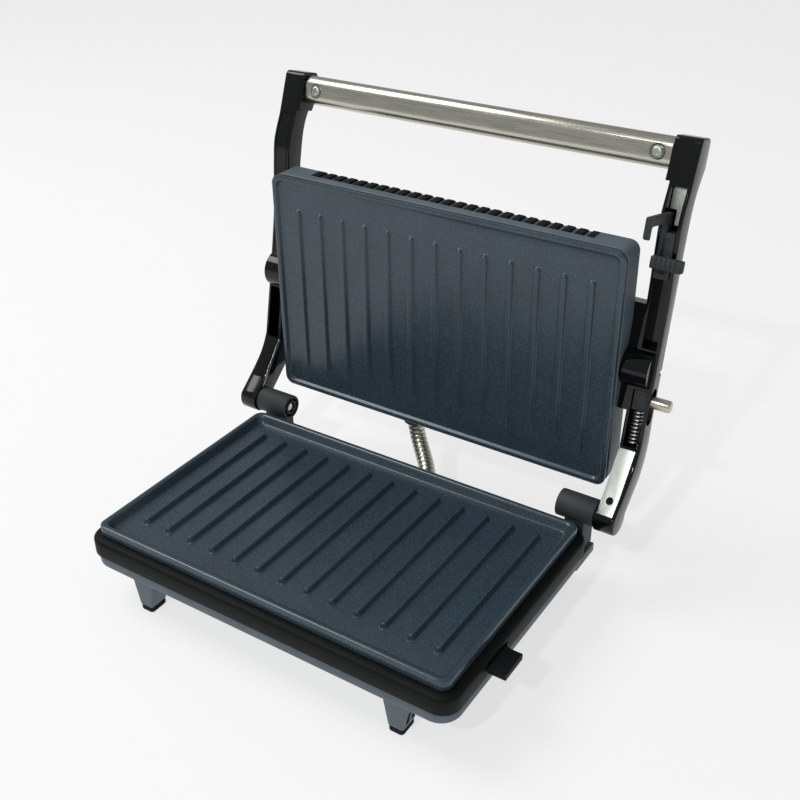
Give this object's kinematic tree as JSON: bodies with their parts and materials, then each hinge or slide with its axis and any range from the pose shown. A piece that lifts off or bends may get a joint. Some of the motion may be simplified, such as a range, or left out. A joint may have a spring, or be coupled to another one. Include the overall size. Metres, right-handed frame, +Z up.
{
  "type": "panini press",
  "caption": "Contact grill standing open: ribbed plates in a base and a floating lid, lid carried on hinged side arms with an oval steel handle tube, a sliding latch and a release pin.",
  "frame": {"origin": "centre of the open press's box, on the table it stands on", "axes": "+X to the right arm with the latch, +Y to the hinge at the back, +Z up"},
  "size_m": [0.277, 0.2354, 0.2521],
  "materials": {
    "non_stick_plate": "speckled dark non-stick coating",
    "slate_housing": "fine satin texture",
    "black_trim": "fine texture",
    "gloss_black_arm": "polished",
    "matte_black": "matte texture",
    "brushed_stainless": "brushed lengthways",
    "satin_steel": "satin zinc",
    "rubber_pad": "matte",
    "white_ceramic": "unglazed",
    "red_lens": "clear gloss",
    "green_lens": "clear gloss"
  },
  "bodies": {
    "base": {"base_housing": "slate_housing", "base_trim_frame": "black_trim", "lower_grill_plate": "non_stick_plate", "lower_heating_element": "satin_steel", "lower_reflector": "satin_steel", "thermostat": "white_ceramic", "thermal_fuse": "satin_steel", "terminal_block": "white_ceramic", "latch_lug": "black_trim", "foot_pad_front_left": "rubber_pad", "foot_pad_front_right": "rubber_pad", "foot_pad_rear_left": "rubber_pad", "foot_pad_rear_right": "rubber_pad", "hinge_barrel_left": "matte_black", "hinge_barrel_right": "matte_black", "hinge_pin_left": "brushed_stainless", "hinge_pin_right": "brushed_stainless", "inlet_gland": "matte_black", "conduit_socket_base": "matte_black", "conduit": "brushed_stainless"},
    "arms": {"arm_shell_left": "gloss_black_arm", "arm_shell_right": "gloss_black_arm", "arm_cover_left": "gloss_black_arm", "hinge_strap_left": "satin_steel", "hinge_strap_right": "satin_steel", "latch_liner": "satin_steel", "handle_tube": "brushed_stainless", "handle_screw_left": "satin_steel", "handle_screw_right": "satin_steel", "release_spring": "satin_steel"},
    "lid": {"lid_housing": "slate_housing", "lid_cover_panel": "brushed_stainless", "upper_grill_plate": "non_stick_plate", "upper_heating_element": "satin_steel", "upper_reflector": "satin_steel", "pivot_bush_left": "matte_black", "pivot_bush_right": "matte_black", "pivot_pin_left": "brushed_stainless", "pivot_pin_right": "brushed_stainless", "power_lamp": "red_lens", "ready_lamp": "green_lens", "conduit_socket_lid": "matte_black"},
    "latch": {"latch_hook": "matte_black", "latch_thumb_bar": "matte_black"},
    "release": {"release_pin": "brushed_stainless", "release_catch": "matte_black"}
  },
  "joints": [
    {"name": "arm_hinge", "type": "hinge", "parent": "base", "child": "arms", "pos_m": [-0.0055, 0.04348, 0.052], "axis": [1, 0, 0], "range_deg": [0, 103.49], "deforming": ["conduit"]},
    {"name": "lid_float", "type": "hinge", "parent": "arms", "child": "lid", "pos_m": [-0.0055, 0.07776, 0.131], "axis": [1, 0, 0], "range_deg": [-13.5, 0]},
    {"name": "latch_slide", "type": "slide", "parent": "arms", "child": "latch", "axis": [0, -0.2334, -0.9724], "range_m": [0, 0.039]},
    {"name": "release_slide", "type": "slide", "parent": "arms", "child": "release", "axis": [0, -0.2334, -0.9724], "range_m": [0, 0.01], "stiffness_N_per_m": 250, "springref_m": -0.004, "deforming": ["release_spring"]}
  ],
  "couplings": [
    {"joint": "lid_float", "follows": "arm_hinge", "ratio": -0.13039}
  ]
}
